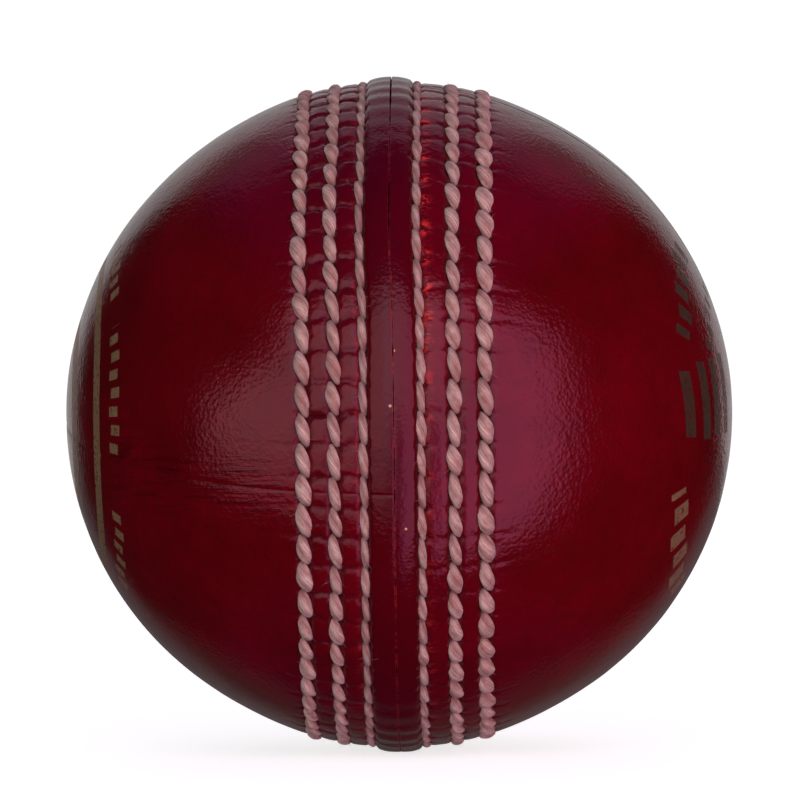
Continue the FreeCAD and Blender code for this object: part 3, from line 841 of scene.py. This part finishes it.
def cork_material(name, light, dark, scale, binder):
    """Cork granules in three tones with darker specks and fine pits between them."""
    material, tree, shader = new_material(name)
    where = node(tree, "ShaderNodeTexCoord").outputs["Object"]
    cells = node(tree, "ShaderNodeTexVoronoi", {"Vector": where, "Scale": scale}, feature="F1")
    tone = node(tree, "ShaderNodeSeparateColor", {0: cells.outputs["Color"]}).outputs[0]
    edge = node(tree, "ShaderNodeTexVoronoi", {"Vector": where, "Scale": scale}, feature="DISTANCE_TO_EDGE").outputs[0]
    pores = noise(tree, where, scale * 7, 4.0, 0.7)
    colour = mixed(tree, tone, dark, light)
    colour = mixed(tree, ranged(tree, edge, 0.0, 0.09, 0.85, 0.0), colour, binder)
    colour = mixed(tree, ranged(tree, pores, 0.56, 0.68, 0.0, 0.7), colour, (0.035, 0.018, 0.01, 1))
    tree.links.new(colour, shader.inputs["Base Color"])
    tree.links.new(ranged(tree, tone, 0.0, 1.0, 0.72, 0.92), shader.inputs["Roughness"])
    relief = bumped(tree, ranged(tree, edge, 0.0, 0.12), 0.4, 0.0002)
    tree.links.new(bumped(tree, pores, 0.5, 0.00015, relief), shader.inputs["Normal"])
    return material


def lining_material():
    """Thin undyed leather, flesh side out: buff, short nap and cloudy stains."""
    material, tree, shader = new_material("lining_leather")
    where = node(tree, "ShaderNodeTexCoord").outputs["Object"]
    nap = noise(tree, where, 3000.0, 5.0, 0.75)
    cloudy = noise(tree, where, 220.0, 3.0, 0.6)
    colour = mixed(tree, ranged(tree, cloudy, 0.3, 0.7), (0.30, 0.17, 0.09, 1), (0.47, 0.31, 0.19, 1))
    colour = mixed(tree, ranged(tree, nap, 0.5, 0.7, 0.0, 0.5), colour, (0.20, 0.10, 0.055, 1))
    tree.links.new(colour, shader.inputs["Base Color"])
    tree.links.new(ranged(tree, nap, 0.3, 0.7, 0.75, 0.95), shader.inputs["Roughness"])
    tree.links.new(bumped(tree, nap, 0.6, 0.00015), shader.inputs["Normal"])
    return material


def inside_thread_material():
    """Waxed linen thread of the quarter seams: twisted strands, a little glossy."""
    material, tree, shader = new_material("inside_thread")
    where = node(tree, "ShaderNodeTexCoord").outputs["Object"]
    twist = node(tree, "ShaderNodeTexWave", {"Vector": where, "Scale": 900.0, "Distortion": 2.0, "Detail": 2.0},
                 bands_direction="DIAGONAL").outputs["Fac"]
    wax = noise(tree, where, 500.0, 3.0, 0.6)
    colour = mixed(tree, twist, (0.42, 0.33, 0.20, 1), (0.72, 0.63, 0.47, 1))
    colour = mixed(tree, ranged(tree, wax, 0.5, 0.7, 0.0, 0.4), colour, (0.50, 0.36, 0.17, 1))
    tree.links.new(colour, shader.inputs["Base Color"])
    tree.links.new(ranged(tree, wax, 0.3, 0.7, 0.65, 0.4), shader.inputs["Roughness"])
    tree.links.new(bumped(tree, twist, 0.7, 0.00015), shader.inputs["Normal"])
    return material


# ---- pieces ----
LEATHER = leather_material()
THREAD = thread_material()
BODY = "root"


def take_over(piece, cad_node, material):
    paint(piece, material)
    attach(piece, BODY)
    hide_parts(cad_node)


for label, side, starts in (("left", -1, (("upper", 0), ("lower", 180))), ("right", 1, (("rear", 0), ("front", 180)))):
    joint = QUARTER_SEAM_ANGLE + (90.0 if side > 0 else 0.0)
    for part, turn in starts:
        cad_node = f"{label}_{part}_quarter"
        take_over(leather_quarter(f"{cad_node}_leather", side, joint + turn), cad_node, LEATHER)

for label, side in (("left", -1), ("right", 1)):
    for row, row_name in ((1, "middle"), (2, "outer")):
        for first, strand in enumerate(("a", "b")):
            cad_node = f"{label}_{row_name}_thread_{strand}"
            seed = 100 + 10 * row + first + (5 if side > 0 else 0)
            take_over(row_strand(f"{cad_node}_plied", side, row, first, seed), cad_node, THREAD)
for first, strand in enumerate(("a", "b")):
    cad_node = f"closing_thread_{strand}"
    take_over(closing_strand(f"{cad_node}_plied", first, 200 + first), cad_node, THREAD)


# ---- what is inside ----
def sphere_shell(radius, rows=48, columns=96):
    """Points and faces of a closed sphere."""
    lat = np.linspace(-np.pi / 2, np.pi / 2, rows + 1)[1:-1]
    lon = np.linspace(0, 2 * np.pi, columns, endpoint=False)
    ring = np.stack(np.meshgrid(lat, lon, indexing="ij"), -1).reshape(-1, 2)
    points = radius * np.stack([np.cos(ring[:, 0]) * np.cos(ring[:, 1]), np.cos(ring[:, 0]) * np.sin(ring[:, 1]), np.sin(ring[:, 0])], 1)
    points = np.concatenate([points, [[0, 0, -radius], [0, 0, radius]]])
    i, j = (m.ravel() for m in np.meshgrid(np.arange(rows - 2), np.arange(columns), indexing="ij"))
    k = (j + 1) % columns
    quads = np.stack([i * columns + j, i * columns + k, (i + 1) * columns + k, (i + 1) * columns + j], 1)
    j = np.arange(columns)
    k = (j + 1) % columns
    last = (rows - 2) * columns
    south, north = len(points) - 2, len(points) - 1
    caps = np.concatenate([
        np.stack([np.full(columns, south), k, j], 1), np.stack([last + j, last + k, np.full(columns, north)], 1)])
    return points, quads, caps


YARN_SIDES = 6
YARN_STEPS = 60  # points for each turn


def wound_yarn(name, inner_radius, outer_radius, turns, yarn_radius, seed):
    """A winding: a closed hollow ball with a yarn wound round it in great circles whose axis keeps turning."""
    rng = np.random.default_rng(SEED + seed)
    count = turns * YARN_STEPS
    s = np.arange(count + 1) * 2 * np.pi / YARN_STEPS
    lean = np.cumsum(rng.normal(0.33, 0.12, turns + 2)) * 1.0
    tilt = np.cumsum(rng.normal(0.21, 0.10, turns + 2)) * 1.0
    at = np.arange(count + 1) / YARN_STEPS
    a, b = np.interp(at, np.arange(turns + 2), lean), np.interp(at, np.arange(turns + 2), tilt)
    one = np.stack([np.cos(a), np.sin(a), np.zeros_like(a)], 1)
    two = np.stack([-np.sin(a) * np.cos(b), np.cos(a) * np.cos(b), np.sin(b)], 1)
    direction = np.cos(s)[:, None] * one + np.sin(s)[:, None] * two
    shell_radius = outer_radius - 3.2 * yarn_radius
    lift = shell_radius + yarn_radius * (0.7 + 1.3 * at / turns)
    path = direction * lift[:, None]
    tangent = np.gradient(path, axis=0)
    tangent /= np.linalg.norm(tangent, axis=1)[:, None]
    side = np.cross(tangent, direction)
    theta = np.arange(YARN_SIDES) * 2 * np.pi / YARN_SIDES
    ring = path[:, None] + yarn_radius * (
        np.cos(theta)[None, :, None] * side[:, None] + np.sin(theta)[None, :, None] * direction[:, None])
    i, j = (m.ravel() for m in np.meshgrid(np.arange(count), np.arange(YARN_SIDES), indexing="ij"))
    k = (j + 1) % YARN_SIDES
    quads = np.stack([i * YARN_SIDES + j, i * YARN_SIDES + k, (i + 1) * YARN_SIDES + k, (i + 1) * YARN_SIDES + j], 1)
    length = at * 2 * np.pi * outer_radius
    uv = np.stack([np.stack([(j + dj) / YARN_SIDES, length[i + di]], 1) for di, dj in ((0, 0), (0, 1), (1, 1), (1, 0))], 1)
    ends = np.array([np.arange(YARN_SIDES)[::-1], count * YARN_SIDES + np.arange(YARN_SIDES)])
    tube = ring.reshape(-1, 3)
    outer, outer_quads, outer_caps = sphere_shell(shell_radius)
    inner, inner_quads, inner_caps = sphere_shell(inner_radius)
    first, second = len(tube), len(tube) + len(outer)
    points = np.concatenate([tube, outer, inner])
    shell_quads = np.concatenate([outer_quads + first, inner_quads[:, ::-1] + second])
    shell_caps = np.concatenate([outer_caps + first, inner_caps[:, ::-1] + second])
    polygons = [quads, ends, shell_quads, shell_caps]
    rest = ends.size + shell_quads.size + shell_caps.size
    uv_all = np.concatenate([uv.reshape(-1, 2), np.zeros((rest, 2))])
    return mesh_object(name, points, polygons, strand_uv=uv_all, sharp=math.radians(80))


YARN = yarn_material()
for cad_node, turns, yarn_radius, seed in (
    ("inner_yarn_winding", 90, 0.30, 301), ("middle_yarn_winding", 130, 0.30, 302), ("outer_yarn_winding", 170, 0.30, 303),
):
    outer_radius = cad_size(cad_node)[1][0]
    inner_radius = {"inner": 13.53, "middle": 20.53, "outer": 27.53}[cad_node.split("_")[0]]
    piece = wound_yarn(f"{cad_node}_wound", inner_radius, outer_radius, turns, yarn_radius, seed)
    take_over(piece, cad_node, YARN)

COMPOSITE = cork_material("composite_cork", (0.36, 0.22, 0.12, 1), (0.13, 0.07, 0.04, 1), 700.0, (0.02, 0.016, 0.014, 1))
SHEET_CORK = cork_material("sheet_cork", (0.52, 0.34, 0.19, 1), (0.30, 0.17, 0.09, 1), 1100.0, (0.14, 0.08, 0.04, 1))
LINING = lining_material()
INSIDE_THREAD = inside_thread_material()
for cad_node, material in (
    ("cork_nucleus", COMPOSITE), ("inner_cork_slivers", SHEET_CORK), ("outer_cork_slivers", SHEET_CORK),
    ("left_lining_strip", LINING), ("right_lining_strip", LINING),
    ("left_quarter_seam_thread", INSIDE_THREAD), ("right_quarter_seam_thread", INSIDE_THREAD),
):
    paint(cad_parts[cad_node], material)


# ---- studio ----
def emitter(name, location, target, size, strength, colour=(1, 1, 1)):
    """A soft area light whose surface has the given brightness."""
    light = bpy.data.lights.new(name, "AREA")
    light.shape = "RECTANGLE"
    light.size, light.size_y = size
    light.energy = strength * math.pi * size[0] * size[1]
    light.color = colour
    lamp = bpy.data.objects.new(name, light)
    lamp.location = location
    lamp.rotation_euler = (Vector(target) - Vector(location)).to_track_quat("-Z", "Y").to_euler()
    bpy.context.scene.collection.objects.link(lamp)
    return lamp


def stage_plane(name, corners, glow):
    """A plain white plane that glows a little, so that shadows on it stay soft. The ball doesn't mirror it."""
    mesh = bpy.data.meshes.new(name)
    mesh.from_pydata(corners, [], [(0, 1, 2, 3)])
    plane = bpy.data.objects.new(name, mesh)
    bpy.context.scene.collection.objects.link(plane)
    material, tree, shader = new_material(name)
    shader.inputs["Base Color"].default_value = (0.85, 0.85, 0.85, 1)
    shader.inputs["Roughness"].default_value = 0.9
    shader.inputs["Emission Color"].default_value = (1, 1, 1, 1)
    shader.inputs["Emission Strength"].default_value = glow
    mesh.materials.append(material)
    return plane


def studio_world():
    """White all round to the eye and to matt surfaces, and dark to gloss, which mirrors only the lamps."""
    world = bpy.data.worlds.new("studio")
    world.use_nodes = True
    tree = world.node_tree
    background = tree.nodes["Background"]
    background.inputs["Color"].default_value = (1, 1, 1, 1)
    path = node(tree, "ShaderNodeLightPath")
    seen = ranged(tree, path.outputs["Is Camera Ray"], 0, 1, AMBIENT, 1.05)
    matt = ranged(tree, path.outputs["Is Glossy Ray"], 0, 1, 1.0, 0.05)
    tree.links.new(math_node(tree, "MULTIPLY", seen, matt), background.inputs["Strength"])
    bpy.context.scene.world = world


AMBIENT = 0.16
SOFTBOX_Y = -0.62
SOFTBOX_PANES = (  # left, right, lower and upper edge in metres, and brightness in red, green and blue
    (-0.15, 0.00, 0.00, 0.55, (0.93, 1.60, 1.75)),
    (-0.15, 0.00, -0.20, 0.00, (0.50, 1.05, 1.05)),
    (-0.15, 0.00, -0.42, -0.20, (0.10, 0.35, 0.40)),
    (-0.60, -0.15, -0.15, 0.50, (1.20, 1.12, 1.10)),
    (-1.00, -0.60, -0.15, 0.22, (1.25, 1.18, 1.15)),
    (-1.00, -0.15, -0.42, -0.15, (0.75, 0.66, 0.70)),
    (-1.38, -1.00, -0.15, 0.12, (1.20, 1.15, 1.10)),
    (-1.38, -1.00, -0.42, -0.15, (0.65, 0.50, 0.55)),
    (0.00, 0.35, 0.00, 0.55, (1.70, 1.19, 1.50)),
    (0.00, 0.15, -0.75, 0.00, (0.50, 0.20, 0.60)),
    (0.35, 1.02, 0.00, 0.52, (1.90, 0.88, 1.45)),
    (0.15, 1.07, -0.78, 0.00, (1.90, 0.88, 1.45)),
)


def studio():
    floor_z = cad_box[0][2]
    floor = stage_plane("floor", [(-3, -3, floor_z), (3, -3, floor_z), (3, 1.4, floor_z), (-3, 1.4, floor_z)], 0.75)
    floor.visible_glossy = False
    floor.visible_diffuse = False
    floor.visible_shadow = False
    studio_world()
    for number, (low_x, high_x, low_z, high_z, tint) in enumerate(SOFTBOX_PANES):
        x, z, strength = (low_x + high_x) / 2, (low_z + high_z) / 2, max(tint)
        emitter(f"softbox_{number}", (x, SOFTBOX_Y, z), (x, 0, z), (high_x - low_x, high_z - low_z), strength,
                [c / strength for c in tint])
    emitter("back_screen", (0, 1.5, 0.475), (0, 0, 0.475), (1.9, 1.15), 0.5)
    emitter("low_screen", (0, 1.5, -0.525), (0, 0, -0.525), (1.9, 0.85), 0.11)
    emitter("under_screen", (0, 1.5, -1.6), (0, 0, -1.6), (2.6, 1.3), 0.06, (1.0, 0.80, 0.74))
    emitter("under_panel", (0, 0.1, -1.6), (0, 0, 0), (2.6, 2.6), 0.035, (0.4, 0.1, 1.0))
    emitter("rear_top_panel", (0, 0.75, 1.0), (0, 0, 0), (0.9, 0.9), 0.44, (1.0, 0.80, 0.88))
    for side in (-1, 1):
        emitter(f"rear_top_wing_{side}", (0.65 * side, 0.75, 1.0), (0.65 * side, 0, 0), (0.4, 0.9), 0.15, (1.0, 0.80, 0.88))
    emitter("ceiling", (0, -0.1, 1.6), (0, 0, 0), (3.0, 3.0), 0.11, (0.3, 0.0, 1.0))
    fill = emitter("right_fill", (1.3, -1.1, 0.1), (0, 0, 0), (1.2, 1.2), 0.70, (1.0, 0.95, 0.85))
    fill.visible_glossy = False


CAMERA_DISTANCE = 0.5227
FOCAL_LENGTH = 217.1
SENSOR_WIDTH = 36.0
AIM = (0.0001, 0.0, 0.00156)
CAMERA_TURN = math.radians(0.75)
CAMERA_ROLL = math.radians(-0.49)


def camera():
    lens = bpy.data.cameras.new("camera")
    lens.lens = FOCAL_LENGTH
    lens.sensor_width = SENSOR_WIDTH
    lens.clip_start = 0.01
    eye = bpy.data.objects.new("camera", lens)
    at = Vector((math.sin(CAMERA_TURN), -math.cos(CAMERA_TURN), 0.0)) * CAMERA_DISTANCE
    eye.location = at
    look = (Vector(AIM) - at).to_track_quat("-Z", "Y")
    eye.rotation_euler = (look.to_matrix() @ roll_matrix(CAMERA_ROLL)).to_euler()
    bpy.context.scene.collection.objects.link(eye)
    bpy.context.scene.camera = eye


def roll_matrix(angle):
    from mathutils import Matrix
    return Matrix.Rotation(angle, 3, "Z")


studio()
camera()
bpy.context.scene.view_settings.view_transform = "Standard"
